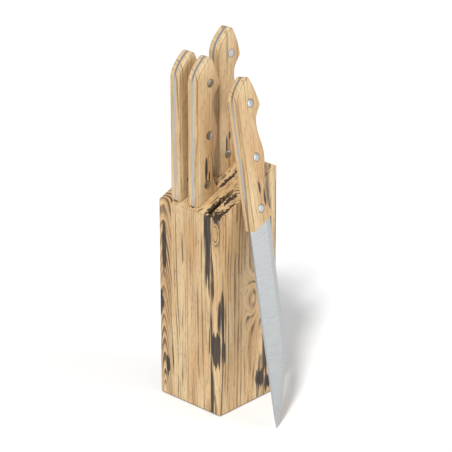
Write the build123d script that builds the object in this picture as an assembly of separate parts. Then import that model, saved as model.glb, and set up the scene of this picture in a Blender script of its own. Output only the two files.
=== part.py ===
from build123d import *
import os
from math import radians, tan

# A square knife block glued up from upright boards, with three knives in their slots and a
# carving knife leaning on its right side. Millimetres. The origin is the centre of the block's
# base, on the table. The low front of the block faces -Y, and the blades lie in planes along Y.

# Block
BLOCK_SIDE = 65.0
FRONT_HEIGHT = 168.6
BACK_HEIGHT = 195.7
BASE_THICKNESS = 1.2
BASE_INSET = 2.0
BASE_CORNER = 4.0
EDGE_EASE = 0.8
TOP_EASE = 0.5

# Slots, each routed in the left face of the board on its right
SLOT_WIDTH = 3.0
SLOT_WALL = 3.0
SLOT_FLOOR = 9.0
FRONT_SLOT_LENGTH = 28.0
BACK_SLOT_LENGTH = 26.0
FIRST_SLOT = -18.0
SLOT_PITCH = 18.4
MOUTH_EASE = 0.4

# Dowels across the glue joints
DOWEL_RADIUS = 3.0
DOWEL_LENGTH = 8.0
DOWEL_PLAY = 0.05
DOWEL_DEPTH_PLAY = 0.2
DOWEL_HEIGHTS = (45.0, 135.0)
DOWEL_OFFSET = 16.0

# Handles: widths are measured from the straight spine towards the belly
HANDLE_LENGTH = 118.5
HANDLE_THICKNESS = 12.0
STEEL_THICKNESS = 2.0
GUARD_WIDTH = 24.6
RECESS_WIDTH = 18.3
SWELL_WIDTH = 22.7
NECK_WIDTH = 18.8
HOOK_WIDTH = 25.4
CORNER_ROUND = 3.0
GUARD_ROUND = 1.2
SCALE_ROUND = 2.6
RIVET_RADIUS = 3.0
RIVET_PLAY = 0.02
RIVET_PROUD = 0.12
RIVET_ROUND = 0.3
RIVETS = ((10.4, 16.5), (12.7, 56.5), (13.9, 98.5))

# Blades
UTILITY_BLADE = 125.0
COOK_BLADE = 155.0
BREAD_BLADE = 170.0
CARVING_BLADE = 160.0
GRIND_HEIGHT = 5.0
EDGE_THICKNESS = 0.3
SERRATION_PITCH = 6.0
SERRATION_RADIUS = 4.0
SERRATION_DEPTH = 1.2

# Places
SEAT_GAP = 0.25
FRONT_ROW_SPINE = -28.7
BACK_ROW_SPINE = 4.3
LEAN_TIP = (77.7, -15.5)
LEAN_SIDEWAYS = 11.95
LEAN_BACK = 1.3

HALF_SIDE = BLOCK_SIDE / 2
HALF_STEEL = STEEL_THICKNESS / 2
TOP_RISE = (BACK_HEIGHT - FRONT_HEIGHT) / BLOCK_SIDE


def top_height(y):
    """Height of the sloping top at a place along Y."""
    return FRONT_HEIGHT + (y + HALF_SIDE) * TOP_RISE


# Slot centres from left to right, and the glue joint on the left of each
SLOTS = {
    "utility": (FIRST_SLOT, "front"),
    "bread": (FIRST_SLOT + SLOT_PITCH / 2, "back"),
    "cook": (FIRST_SLOT + SLOT_PITCH, "front"),
    "carving": (FIRST_SLOT + 2 * SLOT_PITCH, "front"),
}
JOINT_X = [centre - SLOT_WIDTH / 2 for centre, row in SLOTS.values()]


def slot_span(row):
    """First and last Y of a slot in the front or the back row."""
    if row == "front":
        start = -HALF_SIDE + SLOT_WALL
        return start, start + FRONT_SLOT_LENGTH
    end = HALF_SIDE - SLOT_WALL
    return end - BACK_SLOT_LENGTH, end


def dowel_y(row):
    """Dowels sit in the half of the joint that the slot leaves whole."""
    return DOWEL_OFFSET if row == "front" else -DOWEL_OFFSET


def block_blank():
    """The whole glued block, with its edges eased, before it is parted into boards."""
    outline = Polygon(
        (-HALF_SIDE, BASE_THICKNESS),
        (HALF_SIDE, BASE_THICKNESS),
        (HALF_SIDE, BACK_HEIGHT),
        (-HALF_SIDE, FRONT_HEIGHT),
        align=None,
    )
    blank = extrude(Plane.YZ * outline, amount=HALF_SIDE, both=True)
    blank = fillet(blank.edges().filter_by(Axis.Z), EDGE_EASE)
    top = blank.faces().sort_by(Axis.Z)[-1]
    return chamfer(top.edges(), TOP_EASE)


def slot_cutter(centre, row):
    """The routed slot with its eased mouth on the sloping top."""
    start, end = slot_span(row)
    length = end - start
    middle = (start + end) / 2
    tall = BACK_HEIGHT + 10 - SLOT_FLOOR
    cutter = Pos(centre, middle, SLOT_FLOOR + tall / 2) * Box(SLOT_WIDTH, length, tall)
    mouth_plane = Plane(
        origin=(centre, middle, top_height(middle)),
        x_dir=(1, 0, 0),
        z_dir=(0, -TOP_RISE, 1),
    )
    sloping_length = length * (1 + TOP_RISE**2) ** 0.5
    wide = Rectangle(SLOT_WIDTH + 2 * MOUTH_EASE, sloping_length + 2 * MOUTH_EASE)
    narrow = Rectangle(SLOT_WIDTH, sloping_length)
    mouth = loft([mouth_plane.offset(-MOUTH_EASE) * narrow, mouth_plane * wide])
    return cutter + mouth


def dowel_places():
    """Centre of every dowel: two on each glue joint."""
    return [
        (joint, dowel_y(row), height)
        for joint, (centre, row) in zip(JOINT_X, SLOTS.values())
        for height in DOWEL_HEIGHTS
    ]


def lying_cylinder(radius, length):
    """A cylinder along X, centred on the origin."""
    return Rot(0, 90, 0) * Cylinder(radius, length)


def board_dowels():
    """All the dowels, as separate solids with chamfered ends."""
    dowel = lying_cylinder(DOWEL_RADIUS, DOWEL_LENGTH)
    dowel = chamfer(dowel.edges().filter_by(GeomType.CIRCLE), 0.5)
    return [Pos(*place) * dowel for place in dowel_places()]


def block_boards():
    """The boards from left to right, with their slots and dowel holes."""
    blank = block_blank()
    for centre, row in SLOTS.values():
        blank -= slot_cutter(centre, row)
    hole = lying_cylinder(DOWEL_RADIUS + DOWEL_PLAY, DOWEL_LENGTH + 2 * DOWEL_DEPTH_PLAY)
    for place in dowel_places():
        blank -= Pos(*place) * hole
    names = ["left"] + [f"{slot}_slot" for slot in SLOTS]
    limits = [-HALF_SIDE] + JOINT_X + [HALF_SIDE]
    boards = {}
    for name, low, high in zip(names, limits, limits[1:]):
        slab = Pos((low + high) / 2, 0, BACK_HEIGHT / 2) * Box(
            high - low, BLOCK_SIDE + 2, BACK_HEIGHT + 10
        )
        boards[f"block_board_{name}"] = blank & slab
    return boards


def non_slip_base():
    """The thin rubber sheet glued under the boards."""
    side = BLOCK_SIDE - 2 * BASE_INSET
    return extrude(RectangleRounded(side, side, BASE_CORNER), amount=BASE_THICKNESS)


def handle_outline():
    """Full handle on the YZ plane: front end at the bottom, spine on Z, belly towards +Y."""
    spine_top = (0, HANDLE_LENGTH - 20.5)
    butt_corner = (15.8, HANDLE_LENGTH + 1.4)
    hook_corner = (HOOK_WIDTH, HANDLE_LENGTH - 23.5)
    guard_corner = (GUARD_WIDTH, GUARD_WIDTH * TOP_RISE)
    butt = Spline(
        spine_top,
        (2.4, HANDLE_LENGTH - 11.3),
        (7.9, HANDLE_LENGTH - 4.6),
        butt_corner,
        tangents=((0, 1), (1, 0.7)),
    )
    slope = ThreePointArc(butt_corner, (21.6, HANDLE_LENGTH - 10.4), hook_corner)
    shoulder = Spline(
        hook_corner,
        (21.4, HANDLE_LENGTH - 29.0),
        (NECK_WIDTH, HANDLE_LENGTH - 37.0),
        tangents=((-0.55, -1), (0, -1)),
    )
    belly = Spline(
        shoulder @ 1,
        (SWELL_WIDTH, HANDLE_LENGTH - 59.0),
        (RECESS_WIDTH, HANDLE_LENGTH - 91.0),
        guard_corner,
        tangents=((0, -1), (0.9, -0.7)),
    )
    front_and_spine = Polyline(guard_corner, (0, 0), spine_top)
    outline = make_face([butt, slope, shoulder, belly, front_and_spine])
    for corner, radius in (
        (butt_corner, CORNER_ROUND),
        (hook_corner, CORNER_ROUND),
        (guard_corner, GUARD_ROUND),
    ):
        outline = fillet(outline.vertices().sort_by_distance(corner)[0], radius)
    return outline


def blade_outline(length, heel_width, belly, tip_tangent):
    """Blade on the YZ plane: spine on Z, tip at the bottom, heel on the handle's front cut.

    The edge runs straight from the heel to the first belly point, then curves to the tip."""
    heel = (heel_width, heel_width * TOP_RISE)
    straight = Line(heel, belly[0])
    curve = Spline(*belly, (0, -length), tangents=(straight % 1, tip_tangent))
    back = Polyline((0, -length), (0, 0), heel)
    return make_face([straight, curve, back])


def rivet_holes(radius):
    """Three cylinders through the handle at the rivets' places."""
    through = lying_cylinder(radius, 2 * HANDLE_THICKNESS)
    return [Pos(0, y, z) * through for y, z in RIVETS]


def ground(blade):
    """The blade with both sides ground down to a thin cutting edge."""
    grind = (STEEL_THICKNESS - EDGE_THICKNESS) / 2
    for side in (0, -1):
        flat = blade.faces().filter_by(Axis.X).sort_by(Axis.X)[side]
        cutting_edge = flat.edges().sort_by(Axis.Y)[-2:]
        blade = chamfer(cutting_edge, GRIND_HEIGHT, grind, reference=flat)
    return blade


def serrations(edge_y, straight_length):
    """Cutters for round scallops along the straight stretch of a blade's edge."""
    scallop = lying_cylinder(SERRATION_RADIUS, 2 * STEEL_THICKNESS)
    centre_y = edge_y + SERRATION_RADIUS - SERRATION_DEPTH
    count = int(straight_length / SERRATION_PITCH)
    return [Pos(0, centre_y, -SERRATION_PITCH * (index + 1)) * scallop for index in range(count)]


def steel(outline, serrated_to=None):
    """One sheet of steel: the ground blade and the full tang behind it."""
    sheet = ground(extrude(Plane.YZ * outline, HALF_STEEL, both=True))
    if serrated_to:
        edge_y, straight_end = serrated_to
        for cutter in serrations(edge_y, -straight_end):
            sheet -= cutter
    sheet += extrude(Plane.YZ * handle_outline(), HALF_STEEL, both=True)
    for hole in rivet_holes(RIVET_RADIUS + RIVET_PLAY):
        sheet -= hole
    return sheet


def utility_steel():
    """Short, narrow blade with a fine point."""
    return steel(blade_outline(UTILITY_BLADE, 22.0, [(20.6, -45), (13.6, -100)], (-0.5, -1)))


def cook_steel():
    """Deep blade with a belly that rises to the tip."""
    return steel(blade_outline(COOK_BLADE, 26.2, [(25.8, -55), (19.2, -118)], (-0.8, -1)))


def bread_steel():
    """Parallel blade with a scalloped edge and a blunt nose."""
    straight_end = (23.4, -138)
    outline = blade_outline(BREAD_BLADE, 23.8, [straight_end, (18.6, -157)], (-1, -0.5))
    return steel(outline, serrated_to=straight_end)


def carving_steel():
    """Long blade that sweeps up to a point on the line of the spine."""
    belly = [(22.9, -60), (20.7, -108), (13.6, -132)]
    return steel(blade_outline(CARVING_BLADE, 24.2, belly, (-0.75, -1)))


def right_scale():
    """Right wooden scale, rounded all round its outer face."""
    outline = Plane.YZ.offset(HALF_STEEL) * handle_outline()
    scale = extrude(outline, (HANDLE_THICKNESS - STEEL_THICKNESS) / 2)
    outer = scale.faces().sort_by(Axis.X)[-1]
    all_but_front = outer.edges().sort_by(Axis.Z)[1:]
    scale = fillet(all_but_front, SCALE_ROUND)
    for hole in rivet_holes(RIVET_RADIUS + RIVET_PLAY):
        scale -= hole
    return scale


def rivets():
    """Three steel pins, each with softly rounded heads a touch proud of the wood."""
    pin = lying_cylinder(RIVET_RADIUS, HANDLE_THICKNESS + 2 * RIVET_PROUD)
    pin = fillet(pin.edges().filter_by(GeomType.CIRCLE), RIVET_ROUND)
    return [Pos(0, y, z) * pin for y, z in RIVETS]


def knife(name, blade, place):
    """The four nodes of one knife, moved to where it stands."""
    scale = right_scale()
    pieces = {
        f"{name}_blade": [blade],
        f"{name}_scale_left": [mirror(scale, about=Plane.YZ)],
        f"{name}_scale_right": [scale],
        f"{name}_rivets": rivets(),
    }
    return {node: [place * solid for solid in solids] for node, solids in pieces.items()}


def seated(slot, spine_y):
    """Place of a knife whose handle rests on the sloping top over its slot."""
    return Pos(SLOTS[slot][0], spine_y, top_height(spine_y) + SEAT_GAP)


def leaning():
    """Place of the carving knife: tip on the table, handle against the block's right edge."""
    tip_lift = EDGE_THICKNESS / 2 * tan(radians(LEAN_SIDEWAYS))
    tip = Pos(*LEAN_TIP, tip_lift)
    return tip * Rot(0, -LEAN_SIDEWAYS, 0) * Rot(-LEAN_BACK, 0, 0) * Pos(0, 0, CARVING_BLADE)


def all_nodes():
    """Every node's solids, by name."""
    nodes = {name: [solid] for name, solid in block_boards().items()}
    nodes["board_dowels"] = board_dowels()
    nodes["non_slip_base"] = [non_slip_base()]
    nodes |= knife("utility", utility_steel(), seated("utility", FRONT_ROW_SPINE))
    nodes |= knife("cook", cook_steel(), seated("cook", FRONT_ROW_SPINE))
    nodes |= knife("bread", bread_steel(), seated("bread", BACK_ROW_SPINE))
    nodes |= knife("carving", carving_steel(), leaning())
    return nodes


os.makedirs("parts", exist_ok=True)
for node, solids in all_nodes().items():
    shape = solids[0] if len(solids) == 1 else Compound(children=solids)
    export_step(shape, f"parts/{node}.step")
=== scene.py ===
# %% [markdown]
# # A wooden knife block with four riveted knives
#
# The block is glued up from five upright boards and stands on a thin rubber sheet. Three knives
# stand in its slots and a carving knife leans on its right side. Every handle is two wooden
# scales on a full steel tang, held by three steel rivets.
#
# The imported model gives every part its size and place. This lesson rebuilds the parts that the
# eye rests on (boards, scales, rivets) as clean meshes, and gives each one its real material.

import math

import bmesh
import bpy
from mathutils import Matrix, Vector


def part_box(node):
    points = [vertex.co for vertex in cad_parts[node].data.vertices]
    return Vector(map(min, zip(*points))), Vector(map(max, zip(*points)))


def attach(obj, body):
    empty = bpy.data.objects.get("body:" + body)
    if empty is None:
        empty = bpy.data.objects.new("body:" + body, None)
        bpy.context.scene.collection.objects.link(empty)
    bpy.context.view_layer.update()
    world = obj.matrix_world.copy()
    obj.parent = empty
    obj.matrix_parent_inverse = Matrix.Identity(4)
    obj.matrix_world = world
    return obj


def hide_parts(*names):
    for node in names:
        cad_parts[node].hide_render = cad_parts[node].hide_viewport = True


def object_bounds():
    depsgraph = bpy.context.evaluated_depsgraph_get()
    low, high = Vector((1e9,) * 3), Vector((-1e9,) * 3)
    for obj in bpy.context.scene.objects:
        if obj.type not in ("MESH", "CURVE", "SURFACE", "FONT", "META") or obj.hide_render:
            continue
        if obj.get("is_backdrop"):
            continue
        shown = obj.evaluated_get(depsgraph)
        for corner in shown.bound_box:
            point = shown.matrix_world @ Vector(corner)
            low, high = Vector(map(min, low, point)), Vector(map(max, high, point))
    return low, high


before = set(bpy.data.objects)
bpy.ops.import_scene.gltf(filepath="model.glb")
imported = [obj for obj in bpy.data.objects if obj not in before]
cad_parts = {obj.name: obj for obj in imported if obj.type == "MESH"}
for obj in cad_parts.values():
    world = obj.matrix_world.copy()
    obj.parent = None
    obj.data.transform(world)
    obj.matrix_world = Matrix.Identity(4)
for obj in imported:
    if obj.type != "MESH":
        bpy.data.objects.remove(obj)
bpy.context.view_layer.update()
MM = 0.001
KNIVES = ("utility", "cook", "bread", "carving")
BOARDS = tuple(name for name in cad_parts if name.startswith("block_board_"))
print("boards:", BOARDS)

# %% [markdown]
# ## Working by hand in code
#
# An operator acts on everything that is selected, so each step starts by selecting nothing, and
# then picks its faces or edges by where they are or which way they look.

# %% Selection helpers
# Two measures closer than this are the same.
TOUCH = 0.02 * MM
# A direction's share of another, above which they go the same way, and below which they are
# square to each other.
FACING, SQUARE = 0.8, 0.01
ROUND_SIDES = 48
SMOOTH_ANGLE = math.radians(40)


def only(*pieces):
    """Selects these objects and nothing else, and makes the first one active."""
    if bpy.context.object and bpy.context.object.mode != "OBJECT":
        bpy.ops.object.mode_set(mode="OBJECT")
    bpy.ops.object.select_all(action="DESELECT")
    for piece in pieces:
        piece.select_set(True)
    bpy.context.view_layer.objects.active = pieces[0]


def pick(piece, kind, test):
    """In edit mode, selects the faces, edges or vertices that pass the test. Returns how many."""
    only(piece)
    bpy.ops.object.mode_set(mode="EDIT")
    bpy.ops.mesh.select_mode(type={"faces": "FACE", "edges": "EDGE", "verts": "VERT"}[kind])
    bpy.ops.mesh.select_all(action="DESELECT")
    mesh = bmesh.from_edit_mesh(piece.data)
    chosen = [element for element in getattr(mesh, kind) if test(element)]
    for element in chosen:
        element.select_set(True)
    mesh.select_flush_mode()
    bmesh.update_edit_mesh(piece.data)
    return len(chosen)


def middle(edge):
    """Middle of an edge."""
    return (edge.verts[0].co + edge.verts[1].co) / 2


def near(a, b):
    """True where two measures are the same, but for rounding."""
    return abs(a - b) < TOUCH


def apply_modifier(piece, kind, **settings):
    """Adds a modifier with these settings and applies it."""
    only(piece)
    modifier = piece.modifiers.new(kind.lower(), kind)
    for key, value in settings.items():
        setattr(modifier, key, value)
    bpy.ops.object.modifier_apply(modifier=modifier.name)


def drill(piece, place, radius, length):
    """Drills a hole along X, with its middle at this place."""
    only(piece)
    bpy.ops.mesh.primitive_cylinder_add(
        vertices=ROUND_SIDES,
        radius=radius,
        depth=length,
        location=place,
        rotation=(0, math.pi / 2, 0),
    )
    cutter = bpy.context.object
    apply_modifier(piece, "BOOLEAN", object=cutter, operation="DIFFERENCE", solver="FAST")
    bpy.data.objects.remove(cutter)


def smooth(piece):
    """Smooths all but the real corners, and keeps the flat faces looking flat."""
    only(piece)
    bpy.ops.object.shade_smooth_by_angle(angle=SMOOTH_ANGLE)
    apply_modifier(piece, "WEIGHTED_NORMAL", keep_sharp=True)


def stand_for(piece, node, body):
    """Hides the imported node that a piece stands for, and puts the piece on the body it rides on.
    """
    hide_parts(node)
    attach(piece, body)


def copied(piece, name, place=Matrix.Identity(4)):
    """A copy with its own mesh, its place put into the mesh."""
    twin = piece.copy()
    twin.data = piece.data.copy()
    bpy.context.scene.collection.objects.link(twin)
    twin.data.transform(place)
    twin.name = twin.data.name = name
    return twin


# %% [markdown]
# ## The camera
#
# The set is seen from its front right corner and a little above, through a long lens, which
# keeps the block's upright edges nearly parallel.

# %% Camera
AZIMUTH, ELEVATION = math.radians(43.2), math.radians(23.0)
# In metres: how far off the camera stands, and how far it sees.
DISTANCE, FAR_CLIP = 1.755, 50
# In millimetres of lens: long, so that the set fills the frame from that far off.
LENS = 179
towards_camera = Vector((
    math.sin(AZIMUTH) * math.cos(ELEVATION),
    -math.cos(AZIMUTH) * math.cos(ELEVATION),
    math.sin(ELEVATION),
))
# What the camera looks at, in metres: the middle of the set.
target = Vector((0.0112, -0.0026, 0.1490))
camera = bpy.data.objects.new("camera", bpy.data.cameras.new("camera"))
bpy.context.scene.collection.objects.link(camera)
camera.location = target + towards_camera * DISTANCE
camera.rotation_euler = towards_camera.to_track_quat("Z", "Y").to_euler()
camera.data.lens = LENS
camera.data.clip_end = FAR_CLIP
bpy.context.scene.camera = camera
print("camera at", [round(c, 3) for c in camera.location])

# %% [markdown]
# ## Boards
#
# A knife block is glued up from boards. The slots are routed into them before the glue goes on,
# because a slot this deep and narrow is hard to cut into a solid block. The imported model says
# how big each board is. The slope of the top and the slots are the maker's own measures.

# %% Board sizes read from the frame
block_low = Vector([min(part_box(name)[0][i] for name in BOARDS) for i in range(3)])
block_high = Vector([max(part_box(name)[1][i] for name in BOARDS) for i in range(3)])
FRONT_HEIGHT, BACK_HEIGHT = 168.6 * MM, 195.7 * MM
# How many millimetres the top climbs with each millimetre from the front to the back.
RISE = (BACK_HEIGHT - FRONT_HEIGHT) / (block_high.y - block_low.y)
# A slot's width, the wood left under it, and the wood left between it and the outside.
SLOT_WIDTH, SLOT_FLOOR, SLOT_WALL = 3.0 * MM, 9.0 * MM, 3.0 * MM
FRONT_SLOT_LENGTH, BACK_SLOT_LENGTH = 28 * MM, 26 * MM
# Where the slots of the front row and of the back row start and end.
FRONT_SLOT = (block_low.y + SLOT_WALL, block_low.y + SLOT_WALL + FRONT_SLOT_LENGTH)
BACK_SLOT = (block_high.y - SLOT_WALL - BACK_SLOT_LENGTH, block_high.y - SLOT_WALL)
print("block:", [round(c / MM, 2) for c in (*block_low, *block_high)])
print("its top rises", round(math.degrees(math.atan(RISE)), 1), "degrees to the back")

# %% [markdown]
# ## A plain board
#
# Each board starts as a cube at its size. Its top edges are pulled down to the slope, and its
# outside corners are eased, as with a few strokes of a sanding block. Only the edges that end
# up outside the glued block are eased, because a sander can't reach a glue joint.

# %% A plain board
EDGE_EASE = 0.7 * MM


def looks_up(face):
    return face.normal.z > FACING


def outside_edge(edge):
    """True where two outside faces of the block meet, as far as the sanding block reaches."""
    place = middle(edge)
    on_x = near(abs(place.x), block_high.x)
    on_y = near(abs(place.y), block_high.y)
    return (on_x and on_y) or ((on_x or on_y) and any(looks_up(f) for f in edge.link_faces))


def plain_board(name):
    """A board with its sloping top and eased outside edges, before the slot is routed."""
    low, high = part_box(name)
    bpy.ops.mesh.primitive_cube_add(size=1, location=(low + high) / 2, scale=high - low)
    piece = bpy.context.object
    bpy.ops.object.transform_apply(location=True, rotation=True, scale=True)
    for side, height in ((block_low.y, FRONT_HEIGHT), (block_high.y, BACK_HEIGHT)):
        pick(piece, "verts", lambda v: near(v.co.y, side) and near(v.co.z, high.z))
        bpy.ops.transform.translate(value=(0, 0, height - high.z))
    pick(piece, "edges", outside_edge)
    bpy.ops.mesh.bevel(offset=EDGE_EASE, segments=4, affect="EDGES", profile=0.5)
    print(name, "starts at", [round(c / MM, 1) for c in high - low], "mm")
    return piece


# %% [markdown]
# ## A slot
#
# A router cuts the slot into one face of the board, and the next board closes it. A long box
# taken away with a Boolean does the same. The mouth is then broken with fine paper, so that a
# knife doesn't splinter it.

# %% A slot
MOUTH_EASE = 0.4 * MM
# How far the cutting box stands out beside the board and above it.
CUTTER_BESIDE, CUTTER_ABOVE = 2 * MM, 10 * MM


def rout_slot(piece, low, span):
    """Cuts a slot from the top into the board's left face, and eases its mouth."""
    start, end = span
    height = BACK_HEIGHT + CUTTER_ABOVE - SLOT_FLOOR
    middle_x = low.x + (SLOT_WIDTH - CUTTER_BESIDE) / 2
    only(piece)
    bpy.ops.mesh.primitive_cube_add(
        size=1,
        location=(middle_x, (start + end) / 2, SLOT_FLOOR + height / 2),
        scale=(SLOT_WIDTH + CUTTER_BESIDE, end - start, height),
    )
    cutter = bpy.context.object
    bpy.ops.object.transform_apply(location=True, rotation=True, scale=True)
    apply_modifier(piece, "BOOLEAN", object=cutter, operation="DIFFERENCE", solver="EXACT")
    bpy.data.objects.remove(cutter)

    def mouth(edge):
        """True where a wall of the slot meets the top of the board."""
        place = middle(edge)
        along = start - MM < place.y < end + MM
        across = low.x + TOUCH < place.x < low.x + SLOT_WIDTH + MM
        walls = [f for f in edge.link_faces if abs(f.normal.z) < SQUARE]
        return along and across and len(walls) == 1 and any(looks_up(f) for f in edge.link_faces)

    found = pick(piece, "edges", mouth)
    bpy.ops.mesh.bevel(offset=MOUTH_EASE, segments=2, affect="EDGES")
    print("slot", round((end - start) / MM, 1), "mm long, with", found, "edges eased at its mouth")


# %% [markdown]
# ## The five boards
#
# Two dowels at each glue joint keep the wet boards from sliding in the clamps. Their holes are
# drilled into both boards, a little wider and longer than the dowels, to leave the glue room.

# %% The five boards
SLOT_SPANS = {
    "block_board_utility_slot": FRONT_SLOT,
    "block_board_bread_slot": BACK_SLOT,
    "block_board_cook_slot": FRONT_SLOT,
    "block_board_carving_slot": FRONT_SLOT,
}
# Dowels stand this high, and this far from the middle, away from the slot.
DOWEL_HEIGHTS, DOWEL_OFFSET = (45 * MM, 135 * MM), 16 * MM
# A hole 0.05 mm wider all round than its dowel, and 0.2 mm deeper at each end.
DOWEL_HOLE_RADIUS, DOWEL_HOLE_LENGTH = 3.05 * MM, 8.4 * MM
DOWEL_PLACES = [
    Vector((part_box(name)[0].x, DOWEL_OFFSET if span == FRONT_SLOT else -DOWEL_OFFSET, height))
    for name, span in SLOT_SPANS.items()
    for height in DOWEL_HEIGHTS
]
boards = {}
for name in BOARDS:
    low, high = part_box(name)
    board = plain_board(name)
    if name in SLOT_SPANS:
        rout_slot(board, low, SLOT_SPANS[name])
    for place in DOWEL_PLACES:
        if near(place.x, low.x) or near(place.x, high.x):
            drill(board, place, DOWEL_HOLE_RADIUS, DOWEL_HOLE_LENGTH)
    smooth(board)
    board.name = board.data.name = name.replace("block_board", "oiled_board")
    stand_for(board, name, "block")
    boards[name] = board
    print(board.name, "faces:", len(board.data.polygons))

# %% [markdown]
# ## Handle scales
#
# A scale is a slab of wood cut to the outline of the tang, rounded over all round its outer
# face, and sawn off in line with the top of the block. A maker shapes all of them round one
# template. So one scale is made in a handle's own axes (X through its thickness, Y from spine
# to belly, Z along it) and copied to the four knives. Each knife's axes are read from the
# largest flat faces of its packed scale.

# %% The axes of a handle
HALF_STEEL = 1.0 * MM


def handle_axes(knife):
    """Matrix from a handle's own axes to its place, read from its packed right scale."""
    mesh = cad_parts[f"{knife}_scale_right"].data
    areas = {}
    for face in mesh.polygons:
        key = tuple(round(c, 2) for c in face.normal)
        total, exact = areas.get(key, (0.0, face.normal.copy()))
        areas[key] = (total + face.area, exact)
    flats = sorted(areas.values(), key=lambda pair: -pair[0])
    thickness = -flats[0][1].normalized()
    spine = next(normal for _, normal in flats if abs(normal.dot(thickness)) < SQUARE)
    width = (-spine).normalized()
    length = thickness.cross(width).normalized()
    places = [v.co for v in mesh.vertices]
    corner = (
        thickness * (min(p.dot(thickness) for p in places) - HALF_STEEL)
        + width * min(p.dot(width) for p in places)
        + length * min(p.dot(length) for p in places)
    )
    axes = Matrix((thickness, width, length)).transposed().to_4x4()
    return Matrix.Translation(corner) @ axes


AXES = {knife: handle_axes(knife) for knife in KNIVES}
for knife, axes in AXES.items():
    print(knife, "handle at", [round(c / MM, 2) for c in axes.translation])

# %% [markdown]
# ## The outline of a scale
#
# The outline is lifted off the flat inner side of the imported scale, as a pencil line is taken
# from the tang, so wood and steel stay flush. Everything but its rim is deleted, the end near
# the blade is left too long, and one face fills it.

# %% The outline of a scale
# The guard is the part of the handle farther than this from the spine.
GUARD_SIDE = 20 * MM
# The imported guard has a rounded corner, which reaches this far from the saw cut. It is deleted,
# and the belly's line is drawn on straight for this far instead.
CORNER_REACH = 2 * MM
GUARD_RUN_OUT = 6 * MM
# How much too long the scale is left near the blade.
SAW_ROOM = 4 * MM
RIVET_RADIUS = 3.0 * MM
# How far each rivet is from the spine, and how far along the handle.
RIVET_PLACES = ((10.4 * MM, 16.5 * MM), (12.7 * MM, 56.5 * MM), (13.9 * MM, 98.5 * MM))
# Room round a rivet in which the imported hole's rim lies, and room for welding loose triangles.
RIM_ROOM = 0.3 * MM
WELD_ROOM = 0.002 * MM


def saw_height(y):
    """How far along the handle its sawn front lies, at this far from its spine."""
    return y * RISE


def away_from_rivets(place):
    """True for a place on a scale that isn't on the rim of a rivet's hole."""
    return all(
        math.hypot(place.y - y, place.z - z) > RIVET_RADIUS + RIM_ROOM for y, z in RIVET_PLACES
    )


def outline_of_scale():
    """The flat outline of the handle as one face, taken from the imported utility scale. Its front
    is left too long, with the guard's corner still sharp, to be sawn off later."""
    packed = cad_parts["utility_scale_right"]
    piece = copied(packed, "scale", AXES["utility"].inverted())
    piece.parent = None
    pick(piece, "verts", lambda v: True)
    bpy.ops.mesh.remove_doubles(threshold=WELD_ROOM)
    pick(piece, "faces", lambda f: not near(f.calc_center_median().x, HALF_STEEL))
    bpy.ops.mesh.delete(type="FACE")
    pick(piece, "edges", lambda e: not e.is_boundary or not away_from_rivets(middle(e)))
    bpy.ops.mesh.delete(type="EDGE")

    def in_corner(vertex):
        """True in the rounded corner of the guard."""
        return vertex.co.y > GUARD_SIDE and vertex.co.z < saw_height(vertex.co.y) + CORNER_REACH

    pick(piece, "verts", in_corner)
    bpy.ops.mesh.delete(type="VERT")
    pick(piece, "verts", lambda v: v.co.z < saw_height(v.co.y) + TOUCH)
    bpy.ops.transform.translate(value=(0, 0, -SAW_ROOM))
    mesh = bmesh.new()
    mesh.from_mesh(piece.data)
    end = max((v for v in mesh.verts if len(v.link_edges) == 1), key=lambda v: v.co.y)
    run = end.co - end.link_edges[0].other_vert(end).co
    end_place, run_out = end.co.copy(), run.normalized() * GUARD_RUN_OUT
    mesh.free()
    pick(piece, "verts", lambda v: (v.co - end_place).length < WELD_ROOM)
    bpy.ops.mesh.extrude_region_move(TRANSFORM_OT_translate={"value": run_out})
    rim = pick(piece, "edges", lambda e: True)
    bpy.ops.mesh.edge_face_add()
    print("outline of", rim, "edges")
    return piece


# %% [markdown]
# ## One right scale
#
# The outline is extruded to a slab, and six small insets, each a step higher, round it over in
# a quarter circle, as a router bit does. The rounding comes before the saw cut, so that it runs
# off the end of the slab. The new edges are then broken with bevels: a larger one at the guard,
# where a finger rests, and a fine one at the rest. Last come the three rivet holes.

# %% One right scale
SCALE_THICKNESS = 5.0 * MM
# The router bit's radius, and how many flats draw its quarter circle.
SCALE_ROUND = 2.6 * MM
ROUND_STEPS = 6
# How far the saw cut's edges are broken, at the guard and everywhere else.
GUARD_ROUND = 1.0 * MM
FRONT_EASE = 0.35 * MM
# Slivers narrower than this are closed after the bevels.
SLIVER = 0.005 * MM
RIVET_PLAY = 0.02 * MM
DRILL_LENGTH = 30 * MM


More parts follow.
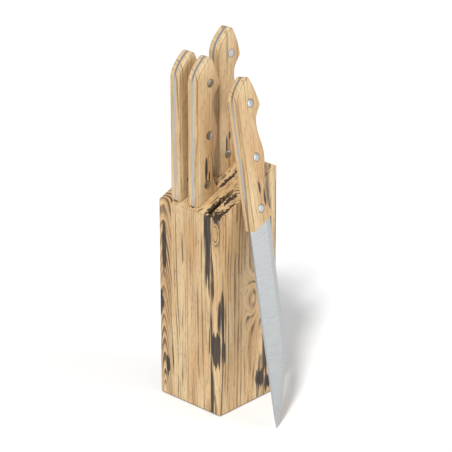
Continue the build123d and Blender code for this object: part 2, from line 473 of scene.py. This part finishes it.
def right_scale():
    """One right scale in the handle's own axes."""
    piece = outline_of_scale()
    pick(piece, "faces", lambda f: True)
    straight = SCALE_THICKNESS - SCALE_ROUND
    bpy.ops.mesh.extrude_region_move(TRANSFORM_OT_translate={"value": (straight, 0, 0)})
    bpy.ops.mesh.select_all(action="SELECT")
    bpy.ops.mesh.normals_make_consistent(inside=False)
    at = [math.radians(90 * step / ROUND_STEPS) for step in range(ROUND_STEPS + 1)]
    pick(piece, "faces", lambda f: f.normal.x > FACING)
    for before, after in zip(at, at[1:]):
        bpy.ops.mesh.inset(
            thickness=SCALE_ROUND * (math.cos(before) - math.cos(after)),
            depth=SCALE_ROUND * (math.sin(after) - math.sin(before)),
        )
    bpy.ops.mesh.select_all(action="SELECT")
    bpy.ops.mesh.bisect(
        plane_co=(0, 0, 0), plane_no=(0, -RISE, 1), clear_inner=True, use_fill=True
    )
    saw_cut = Vector((0, RISE, -1)).normalized()

    def rim(edge):
        """True round the saw cut, but not where it meets the steel."""
        cut_faces = sum(f.normal.dot(saw_cut) > 1 - SQUARE for f in edge.link_faces)
        return cut_faces == 1 and middle(edge).x > HALF_STEEL + TOUCH

    pick(piece, "edges", lambda e: rim(e) and middle(e).y > GUARD_SIDE)
    bpy.ops.mesh.bevel(offset=GUARD_ROUND, segments=4, affect="EDGES")
    pick(piece, "edges", lambda e: rim(e) and middle(e).y < GUARD_SIDE)
    bpy.ops.mesh.bevel(offset=FRONT_EASE, segments=2, affect="EDGES")
    bpy.ops.mesh.select_all(action="SELECT")
    bpy.ops.mesh.dissolve_degenerate(threshold=SLIVER)
    only(piece)
    return piece


scale = right_scale()
for y, z in RIVET_PLACES:
    drill(scale, (0, y, z), RIVET_RADIUS + RIVET_PLAY, DRILL_LENGTH)
print("scale:", len(scale.data.polygons), "faces,", [round(d / MM, 2) for d in scale.dimensions])

# %% [markdown]
# ## Scales on all four knives
#
# The left scale is the right one mirrored. A mirror turns a mesh inside out, so its faces are
# flipped back to look outwards.

# %% Scales on all four knives
MIRROR = Matrix.Diagonal((-1, 1, 1, 1))
scales = {knife: [] for knife in KNIVES}
for knife in KNIVES:
    for side, turn in (("right", Matrix.Identity(4)), ("left", MIRROR)):
        twin = copied(scale, f"{knife}_handle_scale_{side}", AXES[knife] @ turn)
        if side == "left":
            twin.data.flip_normals()
        smooth(twin)
        stand_for(twin, f"{knife}_scale_{side}", f"{knife}_knife")
        scales[knife].append(twin)
bpy.data.objects.remove(scale)
print("scales:", sum(len(pair) for pair in scales.values()))

# %% [markdown]
# ## Rivets
#
# A handle rivet is a steel pin pressed through both scales and ground off almost flush. Its
# head stays a slightly domed disc, so the pin is a cylinder whose ends step inwards and up.

# %% Rivets
# How high a head stands at its middle, and the insets that draw its dome.
HEAD_RISE = 0.12 * MM
HEAD_STEPS = 4
HEAD_STEP_WIDTH = RIVET_RADIUS / 5


def rivet(y, z):
    """One pin with two domed heads, in the handle's own axes."""
    half = HALF_STEEL + SCALE_THICKNESS
    bpy.ops.mesh.primitive_cylinder_add(
        vertices=ROUND_SIDES,
        radius=RIVET_RADIUS,
        depth=2 * half,
        location=(0, y, z),
        rotation=(0, math.pi / 2, 0),
    )
    piece = bpy.context.object
    bpy.ops.object.transform_apply(location=True, rotation=True, scale=True)
    for side in (-1, 1):
        pick(piece, "faces", lambda f: f.normal.x * side > FACING)
        for step in range(HEAD_STEPS):
            fall = (1 - step / HEAD_STEPS) ** 2 - (1 - (step + 1) / HEAD_STEPS) ** 2
            bpy.ops.mesh.inset(thickness=HEAD_STEP_WIDTH, depth=HEAD_RISE * fall)
    only(piece)
    return piece


pins = [rivet(y, z) for y, z in RIVET_PLACES]
only(*pins)
bpy.ops.object.join()
pins = bpy.context.object
rivets = {}
for knife in KNIVES:
    rivets[knife] = copied(pins, f"{knife}_handle_rivets", AXES[knife])
    smooth(rivets[knife])
    stand_for(rivets[knife], f"{knife}_rivets", f"{knife}_knife")
bpy.data.objects.remove(pins)
print("rivets on", list(rivets))

# %% [markdown]
# ## Materials
#
# Every material is worked out in millimetres, in the piece's own axes, so that grain runs the
# way the tree grew through the whole solid: end grain shows on top, long grain on the sides.
#
# Colours are chosen as a screen shows them and turned to the linear values that light adds up
# in. One helper adds any node, so that a material reads from top to bottom like a recipe.

# %% Colour and node helpers
# Where the standard curve of a screen turns from straight to bent, and its numbers there.
CURVE_START, CURVE_SLOPE, CURVE_SHIFT, CURVE_POWER = 0.04045, 12.92, 0.055, 2.4


def linear(code):
    """An sRGB hex colour as linear values, with a full alpha."""
    values = []
    for start in (1, 3, 5):
        shown = int(code[start:start + 2], 16) / 255
        if shown <= CURVE_START:
            values.append(shown / CURVE_SLOPE)
        else:
            values.append(((shown + CURVE_SHIFT) / (1 + CURVE_SHIFT)) ** CURVE_POWER)
    return (*values, 1.0)


def add(tree, kind, links=None, stops=None, **settings):
    """One node: its settings, then what each input takes, which is a node, a socket or a value."""
    node = tree.nodes.new("ShaderNode" + kind)
    for key, value in settings.items():
        setattr(node, key, value)
    for key, source in (links or {}).items():
        if isinstance(source, bpy.types.Node):
            source = source.outputs[0]
        if isinstance(source, bpy.types.NodeSocket):
            tree.links.new(source, node.inputs[key])
        else:
            node.inputs[key].default_value = source
    for index, (place, colour) in enumerate(stops or ()):
        ramp = node.color_ramp.elements
        stop = ramp[index] if index < 2 else ramp.new(place)
        stop.position = place
        stop.color = linear(colour) if isinstance(colour, str) else (colour, colour, colour, 1)
    return node


def new_material(name):
    """A new material: its node tree, its shader node and itself."""
    material = bpy.data.materials.new(name)
    material.use_nodes = True
    return material.node_tree, material.node_tree.nodes["Principled BSDF"], material


def own_axes(tree, axes=Matrix.Identity(4)):
    """Places on a piece in millimetres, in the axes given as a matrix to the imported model's."""
    inverse = axes.inverted()
    return add(tree, "Mapping", {
        "Vector": add(tree, "TexCoord").outputs["Object"],
        "Location": inverse.translation / MM,
        "Rotation": inverse.to_euler(),
        "Scale": (1 / MM, 1 / MM, 1 / MM),
    })


def dress(piece, material):
    """The piece's one material."""
    piece.data.materials.clear()
    piece.data.materials.append(material)


print("tan in linear values:", [round(c, 3) for c in linear("#DEC193")])

# %% [markdown]
# ## The rings of a tree
#
# Growth rings are shells round the tree's pith, and a board shows where its faces cut them:
# arches where it cuts them flat, close straight lines where it cuts them on the quarter. So the
# rings are drawn as shells, and each board only says where its pith was. An eye is a swirl
# where the shells bulge round a small branch.

# %% Growth rings
def shells(tree, place, across, depth, ring, eyes):
    """How many rings from the pith each place is. across and depth each hold a direction and a
    distance in mm. eyes hold a centre, a size, how many rings they add and how many more they
    add with each mm up."""
    sides = []
    for *direction, distance in (across, depth):
        along = add(tree, "VectorMath", {0: place, 1: direction}, operation="DOT_PRODUCT")
        along = along.outputs["Value"]
        sides.append(add(tree, "Math", {0: along, 1: distance}, operation="ADD"))
    flat = add(tree, "CombineXYZ", {0: sides[0], 1: sides[1]})
    radius = add(tree, "VectorMath", {0: flat}, operation="LENGTH").outputs["Value"]
    count = add(tree, "Math", {0: radius, 1: ring}, operation="DIVIDE")
    for centre, size, rings, climb in eyes:
        offset = add(tree, "VectorMath", {0: place, 1: centre}, operation="SUBTRACT")
        scaled = add(tree, "VectorMath", {0: offset, 1: size}, operation="DIVIDE")
        square = add(tree, "VectorMath", {0: scaled, 1: scaled}, operation="DOT_PRODUCT")
        minus = add(tree, "Math", {0: square.outputs["Value"], 1: -1.0}, operation="MULTIPLY")
        bell = add(tree, "Math", {0: minus}, operation="EXPONENT")
        rise = add(tree, "VectorMath", {0: offset, 1: (0, 0, climb)}, operation="DOT_PRODUCT")
        added = add(tree, "Math", {0: rise.outputs["Value"], 1: rings}, operation="ADD")
        count = add(tree, "Math", {0: bell, 1: added, 2: count}, operation="MULTIPLY_ADD")
    return count


# %% [markdown]
# ## Streaks, painted shade on rounded edges and round rivets
#
# Near-black heartwood runs through the pale wood in streaks with frayed ends. A dark band along the
# rounded edges is painted shade where they turn, and hands burnish the same band a little smoother.
# A thin dark ring round each rivet is painted shade where wood meets steel. Each of these is one
# number from 0 to 1 over the surface, for the wood's recipe to use.

# %% Streaks, painted shade on rounded edges and round rivets
# How far the ragged noise frays a streak, and where its blackness starts and is full.
FRAY, STREAK_START, STREAK_FULL = 3.0, 2.4, 2.25
# How far from a rivet's middle its ring of painted shade ends, and where it is darkest, in mm.
GAP_SHADE_END, GAP_SHADE_DARKEST = 3.8, 3.1


def heartwood_and_neck_shade(tree, place, ragged, streaks):
    """How black each place is from the streaks, each a centre and a half size in mm."""
    darkest = add(tree, "Value")
    for centre, size in streaks:
        offset = add(tree, "VectorMath", {0: place, 1: centre}, operation="SUBTRACT")
        scaled = add(tree, "VectorMath", {0: offset, 1: size}, operation="DIVIDE")
        length = add(tree, "VectorMath", {0: scaled}, operation="LENGTH").outputs["Value"]
        edge = add(tree, "Math", {0: ragged, 1: FRAY, 2: length}, operation="MULTIPLY_ADD")
        dark = add(tree, "MapRange", {
            "Value": edge, "From Min": STREAK_START, "From Max": STREAK_FULL,
        })
        darkest = add(tree, "Math", {0: darkest, 1: dark}, operation="MAXIMUM")
    return darkest


def rivet_gap_shade(tree, place, pins):
    """A thin dark ring of painted shade round each pin, where wood meets steel. pins are Y and Z in
    mm.
    """
    side = add(tree, "VectorMath", {0: place, 1: (0, 1, 1)}, operation="MULTIPLY")
    most = add(tree, "Value")
    for y, z in pins:
        away = add(tree, "VectorMath", {0: side, 1: (0, y, z)}, operation="DISTANCE")
        ring = add(tree, "MapRange", {
            "Value": away.outputs["Value"], "From Min": GAP_SHADE_END, "From Max": GAP_SHADE_DARKEST,
        })
        most = add(tree, "Math", {0: most, 1: ring}, operation="MAXIMUM")
    return most


def edge_shade_and_polish(tree, directions):
    """Where a surface turns from one of these directions to the next, as a rounded edge does."""
    normal = add(tree, "TexCoord").outputs["Normal"]
    most = add(tree, "Value")
    for direction in directions:
        facing = add(tree, "VectorMath", {0: normal, 1: direction}, operation="DOT_PRODUCT")
        facing = add(tree, "Math", {0: facing.outputs["Value"]}, operation="ABSOLUTE")
        turn = add(tree, "ValToRGB", {"Fac": facing}, stops=((0.4, 0.0), (0.7, 1.0), (0.9, 0.0)))
        most = add(tree, "Math", {0: most, 1: turn}, operation="MAXIMUM")
    return most


# %% [markdown]
# ## Oiled acacia
#
# Acacia is a tan wood with bold brown growth rings and near-black heartwood streaks. It was planed,
# sanded and wiped with oil. That gives the eye a soft sheen on the fibres, with rings and pores
# that stay a little rougher and sunken, and clouds of honey colour. Its rounded edges get a band of
# painted shade, which is also made a little smoother, as hands burnish it.

# %% Sizes and colours of acacia
TAN, HONEY, RING, HEARTWOOD, PORE = "#DEC193", "#C9A06D", "#3B2718", "#231914", "#553A26"
# Sizes of the patterns across the grain, in mm.
SWAY_SIZE = 20.0
PATCH_SIZE = 17.0
FADE_SIZE = 4.5
FRAY_SIZE = 2.5
# Real fibres and pores are about 0.2 mm wide: drawn coarser, so that they show.
FIBRE_SIZE = 0.9
PORE_SIZE = 0.45
# How far the fibres push a ring's edge, and how far wide and narrow years push the rings on,
# both in rings. WEATHER says how quickly wide and narrow years follow each other.
FIBRE_PUSH, UNEVEN, WEATHER = 0.25, 1.4, 0.45
# Faint lines in each ring.
FAINT_LINES = 3.0
# How dark pores are, and how dark the painted shade on rounded edges is, of 1.
PORE_DARK, EDGE_SHADE = 0.55, 0.45
# Roughness of the oiled fibres and of rings with pores, and what handling takes off it.
FIBRE_ROUGH, RING_ROUGH, HANDLED = 0.45, 0.66, -0.12
GRAIN_RELIEF = 0.15 * MM
print("finest pattern drawn in the wood:", PORE_SIZE, "mm")

# %% [markdown]
# ## Late wood
#
# Each year a tree lays down pale wood in spring and dark dense wood late in the summer. So
# within one ring the colour darkens slowly and then stops short. Some years are darker than
# others, some are wider, and a line fades in places along its way.

# %% Late wood
def grain_noise(tree, place, size, detail, along=0.03):
    """Noise of this size in mm across the grain, drawn out along it."""
    grain = add(tree, "VectorMath", {0: place, 1: (1, 1, along)}, operation="MULTIPLY")
    return add(tree, "TexNoise", {"Vector": grain, "Scale": 1 / size, "Detail": detail})


def late_wood(tree, place, rings, fibres, bold, steady, late):
    """How dark each place is from the late wood of its year."""
    weather = add(tree, "TexNoise", {"W": rings, "Scale": WEATHER, "Detail": 1.0},
                  noise_dimensions="1D")
    uneven = add(tree, "Math", {0: weather, 1: UNEVEN, 2: rings}, operation="MULTIPLY_ADD")
    count = add(tree, "Math", {0: fibres, 1: FIBRE_PUSH, 2: uneven}, operation="MULTIPLY_ADD")
    phase = add(tree, "Math", {0: count}, operation="FRACT")
    band = add(tree, "ValToRGB", {"Fac": phase}, stops=(
        (late - 0.26, 0.0), (late, 0.25), (late + 0.16, 0.92), (0.93, 1.0), (1.0, 0.0),
    ))
    number = add(tree, "Math", {0: count}, operation="FLOOR")
    year = add(tree, "TexWhiteNoise", {"W": number}, noise_dimensions="1D").outputs["Value"]
    weight = add(tree, "MapRange", {"Value": year, "To Min": bold[0], "To Max": bold[1]})
    fade = add(tree, "MapRange", {
        "Value": grain_noise(tree, place, FADE_SIZE, 2.0, along=0.12),
        "From Min": 0.36,
        "From Max": 0.56,
        "To Min": steady,
    })
    weight = add(tree, "Math", {0: weight, 1: fade}, operation="MULTIPLY")
    line = add(tree, "Math", {0: band, 1: weight}, operation="MULTIPLY")
    faint = add(tree, "Math", {0: count, 1: FAINT_LINES}, operation="MULTIPLY")
    faint = add(tree, "Math", {0: faint}, operation="FRACT")
    faint = add(tree, "ValToRGB", {"Fac": faint}, stops=((0.5, 0.0), (0.85, 0.3), (1.0, 0.0)))
    return add(tree, "Math", {0: line, 1: faint}, operation="MAXIMUM")


# %% [markdown]
# ## The whole wood
#
# The recipe goes from large to small. The rings sway as the trunk did. Clouds of honey colour and
# fine fibres make the body colour, and late wood, streaks, pores, painted shade on rounded edges
# and painted shade round the rivets are laid over it one after the other. Rings and pores are then
# also a little rougher and lower than the fibres, so that the sheen breaks up where the eye expects
# it to.

# %% Oiled acacia
def acacia(name, across, depth, ring, eyes=(), streaks=(), axes=Matrix.Identity(4),
           bold=(0.5, 1.0), steady=0.0, late=0.56, sway=6.0, edges=((1, 0, 0), (0, 0, 1)),
           pins=()):
    """Oiled acacia. ring is the width of a growth ring in mm, bold how dark its palest and
    darkest late wood are, steady how little a dark line fades along its way, late where in the
    ring it starts, and sway how far the rings wander in mm."""
    tree, shader, material = new_material(name)
    place = own_axes(tree, axes)
    wander = grain_noise(tree, place, SWAY_SIZE, 1.0, along=0.2).outputs["Color"]
    wander = add(tree, "VectorMath", {0: wander, 1: (0.5, 0.5, 0.5)}, operation="SUBTRACT")
    wavy = add(tree, "VectorMath", {0: wander, 1: (sway, sway, 0), 2: place},
               operation="MULTIPLY_ADD")
    fibres = grain_noise(tree, place, FIBRE_SIZE, 3.0)

    patches = grain_noise(tree, place, PATCH_SIZE, 2.0, along=0.2)
    body = add(tree, "ValToRGB", {"Fac": patches}, stops=((0.35, TAN), (0.68, HONEY)))
    shade = add(tree, "MapRange", {
        "Value": fibres, "From Min": 0.3, "From Max": 0.7, "To Min": 0.88, "To Max": 1.06,
    })
    colour = add(tree, "VectorMath", {0: body, 1: shade}, operation="MULTIPLY")

    rings = shells(tree, wavy, across, depth, ring, eyes)
    line = late_wood(tree, place, rings, fibres, bold, steady, late)
    ragged = grain_noise(tree, place, FRAY_SIZE, 4.0)
    veined = add(tree, "MapRange", {
        "Value": fibres, "From Min": 0.35, "From Max": 0.6, "To Min": 1.0, "To Max": 0.92,
    })
    # Dark heartwood streaks. On the handles, the pairs near the guard are painted shade of the
    # neck.
    dark = heartwood_and_neck_shade(tree, wavy, ragged, streaks)
    dark = add(tree, "Math", {0: dark, 1: veined}, operation="MULTIPLY")
    pores = grain_noise(tree, place, PORE_SIZE, 1.0, along=0.07)
    pore = add(tree, "ValToRGB", {"Fac": pores}, stops=((0.62, 0.0), (0.7, 1.0)))
    pored = add(tree, "Math", {0: pore, 1: PORE_DARK}, operation="MULTIPLY")
    # Painted shade: a dark band where the rounded edges turn. The same band is made a little
    # smoother in the roughness below.
    edge = edge_shade_and_polish(tree, edges)
    painted_edge_shade = add(tree, "Math", {0: edge, 1: EDGE_SHADE}, operation="MULTIPLY")
    # Painted shade: a thin dark ring in the wood round each rivet.
    gap_shade = rivet_gap_shade(tree, place, pins)
    layers = ((line, RING), (dark, HEARTWOOD), (pored, PORE), (painted_edge_shade, RING), (gap_shade, RING))
    for amount, tint in layers:
        mixed = add(tree, "Mix", {0: amount, 6: colour, 7: linear(tint)}, data_type="RGBA")
        colour = mixed.outputs[2]
    tree.links.new(colour, shader.inputs["Base Color"])

    sunk = add(tree, "Math", {0: line, 1: pore}, operation="ADD")
    rough = add(tree, "MapRange", {
        "Value": sunk, "From Max": 2.0, "To Min": FIBRE_ROUGH, "To Max": RING_ROUGH,
    })
    rough = add(tree, "Math", {0: edge, 1: HANDLED, 2: rough}, operation="MULTIPLY_ADD")
    tree.links.new(rough.outputs[0], shader.inputs["Roughness"])
    height = add(tree, "Math", {0: sunk, 1: -0.5, 2: fibres}, operation="MULTIPLY_ADD")
    bump = add(tree, "Bump", {"Height": height, "Strength": 0.3, "Distance": GRAIN_RELIEF})
    tree.links.new(bump.outputs[0], shader.inputs["Normal"])
    print(name, "nodes:", len(tree.nodes))
    return material


# %% [markdown]
# ## Which way each board grew
#
# The left board was cut across the pith's shells at a slant, so its front edge shows stacked
# arches. The middle boards are cut on the quarter: straight close lines. The right board is cut
# flat, with a black heartwood streak down its front corner and an eye on its broad face.

# %% Board woods
# across and depth each hold a direction and how far off the pith is that way, in mm. An eye has
# a centre, a size, the rings it adds and how many more for each mm up. A streak has a centre
# and a half size. All are in mm, in the block's own axes.
BOARD_WOODS = {
    "block_board_left": dict(
        across=(0, 1, 0, 62), depth=(1, 0, 0, 29), ring=4.2, sway=2.5, bold=(0.7, 1.0),
        steady=0.55, late=0.45,
        eyes=[((-27.5, -33, 200), (13, 22, 10000), 0, 0.085)],
        streaks=[((-27, -33, 128), (4, 6, 24)), ((-24.5, -33, 27), (2.6, 5, 10)),
                 ((-30, -33, 82), (2.2, 6, 12))],
    ),
    "block_board_utility_slot": dict(across=(1, 0, 0.02, 60), depth=(0, 1, 0, 10), ring=3.2),
    "block_board_bread_slot": dict(across=(1, 0, -0.015, -75), depth=(0, 1, 0, -8), ring=2.7),
    "block_board_cook_slot": dict(
        across=(1, 0, 0.01, 90), depth=(0, 1, 0, 5), ring=3.0,
        streaks=[((16.5, -25, 172), (3.2, 16, 34)), ((6, 4, 186), (2.5, 14, 12))],
    ),
    "block_board_carving_slot": dict(
        across=(0, 1, 0, -14), depth=(1, 0, 0.03, -16.5), ring=3.2,
        eyes=[((32, 8, 90), (20, 9, 20), 3.0, 0), ((27, -33, 156), (4, 8, 9), 2.4, 0)],
        streaks=[
            ((19.5, -32, 152), (4.4, 9, 52)),
            ((27, -30, 172), (6, 8, 10)),
            ((30, -24, 172), (2.2, 12, 14)),
            ((28, -33, 57), (6, 8, 17)),
            ((24, -33, 22), (2.4, 5, 42)),
            ((32.5, -30, 92), (4, 4, 22)),
            ((32, 14, 18), (8, 6, 10)),
            ((32, 24, 12), (8, 6, 9)),
            ((32, 20, 45), (5, 2.2, 30)),
            ((23, -12, 180), (3, 9, 10)),
        ],
    ),
}
for name, figure in BOARD_WOODS.items():
    dress(boards[name], acacia(name.replace("block_board", "oiled_acacia"), **figure))

# %% [markdown]
# ## Handle woods
#
# Handle scales are cut from straight, paler pieces, because a wild figure breaks in a thin slab.
# The rings are narrower and softer than in the boards. Each knife has its small eye at another
# place, and its own frayed streaks. On the cook, bread and carving handles, two dark streaks near
# the guard are painted shade of the handle's neck.

# %% Handle woods
# Centres and half sizes in mm, in the handle's own axes: 6 is the outside of the right scale.
# On the cook, bread and carving handles, the two streaks on the right face between 23 and 33 mm
# along the handle are painted shade of the neck near the guard.
HANDLE_STREAKS_AND_NECK_SHADE = {
    "utility": [((6, 13, 60), (2, 1.2, 16)), ((-6, 11, 30), (2, 1.0, 9))],
    "cook": [((6, 9.6, 30), (2, 1.5, 9)), ((6, 12.8, 23), (2, 1.1, 9)), ((-6, 6, 70), (2, 1, 12))],
    "bread": [((6, 12.6, 32), (2, 1.5, 8)), ((6, 9.4, 24), (2, 1.0, 7)), ((-6, 15, 36), (2, 1, 9))],
    "carving": [((6, 15.5, 24), (2.4, 2.1, 10)), ((6, 12.2, 33), (2, 1.5, 8))],
}
# Each next knife's wood grew farther from the pith, and has its eye farther up the handle.
for number, knife in enumerate(KNIVES):
    wood = acacia(
        f"oiled_acacia_{knife}_handle",
        across=(0.1, 1, 0.02 * (-1) ** number, 30 + 17 * number),
        depth=(1, 0, 0, 6 + 5 * number),
        ring=2.6,
        eyes=[((6, 13, 30 + 20 * number), (8, 5, 9), 1.2, 0)],
        streaks=HANDLE_STREAKS_AND_NECK_SHADE[knife],
        axes=AXES[knife],
        bold=(0.2, 0.75),
        sway=4.0,
        pins=[(y / MM, z / MM) for y, z in RIVET_PLACES],
        edges=[AXES[knife].col[0].xyz],
    )
    for piece in scales[knife]:
        dress(piece, wood)
    print(wood.name, "on", len(scales[knife]), "scales")

# %% [markdown]
# ## Steel
#
# Kitchen blades are stainless steel, ground across their width on a belt and left satin. That
# gives the eye fine scratches from spine to edge, which smear the light along the blade, and
# dull clouds where it was wiped. The rivets' heads were turned and polished: the same steel,
# brighter and without a direction.

# %% Satin blades and polished rivets
DULL_STEEL, BRIGHT_STEEL = "#ABADAF", "#BEC0C1"
# A 240 grit belt leaves scratches 0.03 mm wide: drawn coarser, so that they show.
SCRATCH_SIZE = 0.28
# Width of the smears that wiping leaves, in mm.
SMEAR_SIZE = 20.0
SCRATCH_RELIEF = 0.05 * MM
# How the scratches are drawn out: along Y by a belt, and not at all by a polishing mop.
BELT, MOP = (1, 0.03, 1), (1, 1, 1)
# The least and the most roughness of each finish.
SATIN, POLISHED = (0.24, 0.4), (0.16, 0.26)


def ground_steel(name, axes, tool, finish):
    """Stainless steel with the fine scratches of this tool, and the roughness of this finish."""
    tree, shader, material = new_material(name)
    place = own_axes(tree, axes)
    shader.inputs["Metallic"].default_value = 1.0
    drawn = add(tree, "VectorMath", {0: place, 1: tool}, operation="MULTIPLY")
    lines = add(tree, "TexNoise", {"Vector": drawn, "Scale": 1 / SCRATCH_SIZE, "Detail": 3.0})
    cloud = add(tree, "TexNoise", {"Vector": place, "Scale": 1 / SMEAR_SIZE, "Detail": 2.0})
    mixed = add(tree, "Math", {0: lines, 1: cloud}, operation="ADD")
    rough = add(tree, "MapRange", {
        "Value": mixed, "From Min": 0.7, "From Max": 1.3,
        "To Min": finish[0], "To Max": finish[1],
    })
    tree.links.new(rough.outputs[0], shader.inputs["Roughness"])
    colour = add(tree, "ValToRGB", {"Fac": lines}, stops=((0.3, DULL_STEEL), (0.7, BRIGHT_STEEL)))
    tree.links.new(colour.outputs[0], shader.inputs["Base Color"])
    bump = add(tree, "Bump", {"Height": lines, "Strength": 0.06, "Distance": SCRATCH_RELIEF})
    tree.links.new(bump.outputs[0], shader.inputs["Normal"])
    return material


for knife in KNIVES:
    blade = ground_steel(f"satin_ground_stainless_{knife}", AXES[knife], BELT, SATIN)
    dress(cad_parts[f"{knife}_blade"], blade)
    head = ground_steel(f"polished_stainless_{knife}_rivets", AXES[knife], MOP, POLISHED)
    dress(rivets[knife], head)
    print(blade.name, "and", head.name)

# %% [markdown]
# ## Rubber and beech
#
# The foot is a thin sheet of black rubber, moulded with a pebbled skin so that it grips. Where
# it is seen at all, it gives the eye a dark dusty line under the wood. The dowels inside the
# joints are turned beech, a pale wood with close faint rings.

# %% Rubber base and beech dowels
RUBBER, DUSTY_RUBBER = "#17171A", "#2B2B2D"
# Pebbles of the moulded skin, in mm, and their height.
PEBBLE_SIZE = 0.65
PEBBLE_RELIEF = 0.1 * MM


def moulded_rubber(name):
    """Black sheet rubber: a faint pebbled skin, dusty where it is rough."""
    tree, shader, material = new_material(name)
    place = own_axes(tree)
    pebble = add(tree, "TexNoise", {"Vector": place, "Scale": 1 / PEBBLE_SIZE, "Detail": 3.0})
    colour = add(tree, "ValToRGB", {"Fac": pebble}, stops=((0.3, RUBBER), (0.75, DUSTY_RUBBER)))
    tree.links.new(colour.outputs[0], shader.inputs["Base Color"])
    rough = add(tree, "MapRange", {"Value": pebble, "To Min": 0.7, "To Max": 0.95})
    tree.links.new(rough.outputs[0], shader.inputs["Roughness"])
    bump = add(tree, "Bump", {"Height": pebble, "Strength": 0.3, "Distance": PEBBLE_RELIEF})
    tree.links.new(bump.outputs[0], shader.inputs["Normal"])
    return material


dress(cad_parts["non_slip_base"], moulded_rubber("moulded_black_rubber"))
dress(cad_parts["board_dowels"], acacia(
    "turned_beech_dowels", across=(0, 1, 0, 40), depth=(1, 0, 0, 0), ring=1.5, bold=(0.1, 0.2),
))
print("pebbles of", PEBBLE_SIZE, "mm on the rubber")

# %% [markdown]
# ## Floor
#
# The set stands on a wide sheet of matt white paper, so large that no edge of it shows from any
# side. Paper is never one flat white: it has broad faint clouds.

# %% Floor
# The sheet's side in metres, and the size of its faint clouds in mm.
FLOOR_SIDE, CLOUD_SIZE = 60, 250
bpy.ops.mesh.primitive_plane_add(size=FLOOR_SIDE, location=(0, 0, 0))
floor = bpy.context.object
floor.name = "floor"
tree, shader, paper = new_material("matt_white_paper")
shader.inputs["Roughness"].default_value = 0.85
tone = add(tree, "TexNoise", {"Vector": own_axes(tree), "Scale": 1 / CLOUD_SIZE, "Detail": 1.0})
tone = add(tree, "ValToRGB", {"Fac": tone}, stops=((0.3, "#F1F1F0"), (0.7, "#F5F5F4")))
tree.links.new(tone.outputs[0], shader.inputs["Base Color"])
dress(floor, paper)
floor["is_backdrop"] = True
print("floor:", [round(d, 1) for d in floor.dimensions], "m")

# %% [markdown]
# ## Light
#
# One large lamp, high in front and a little to the left, gives the front more light than the
# right side and throws a soft shadow back to the right. A pale panel on the far right gives the
# steel something to mirror, and a white room fills the shadows.

# %% Lights
# How far off each lamp stands, in metres, and how bright the white room is.
LAMP_DISTANCE = 1.8
ROOM_COLOUR, ROOM_STRENGTH = "#F6F7F9", 0.6


def lamp(name, kind, azimuth, elevation, strength, **settings):
    """A lamp that looks at the middle of the set from this direction, in degrees."""
    light = bpy.data.objects.new(name, bpy.data.lights.new(name, kind))
    bpy.context.scene.collection.objects.link(light)
    a, e = math.radians(azimuth), math.radians(elevation)
    back = Vector((math.sin(a) * math.cos(e), -math.cos(a) * math.cos(e), math.sin(e)))
    light.location = target + back * LAMP_DISTANCE
    light.rotation_euler = back.to_track_quat("Z", "Y").to_euler()
    light.data.energy = strength
    for key, value in settings.items():
        setattr(light.data, key, value)
    print(name, "stands at", [round(c, 2) for c in light.location])


lamp("key_light", "SUN", 27, 52, 2.35, angle=math.radians(8))
lamp("side_panel", "AREA", 112, 14, 7.5, size=1.1)
world = bpy.data.worlds.new("white_room")
bpy.context.scene.world = world
world.use_nodes = True
world.node_tree.nodes["Background"].inputs["Color"].default_value = linear(ROOM_COLOUR)
world.node_tree.nodes["Background"].inputs["Strength"].default_value = ROOM_STRENGTH
bpy.context.scene.view_settings.view_transform = "Standard"

# %% [markdown]
# ## Sizes and finish
#
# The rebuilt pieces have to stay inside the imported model's box, so both boxes are written down
# before the frame takes the scene over.

# %% Sizes and finish
low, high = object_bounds()
print("visual box in mm:", [round(c / MM, 1) for c in (*low, *high)])
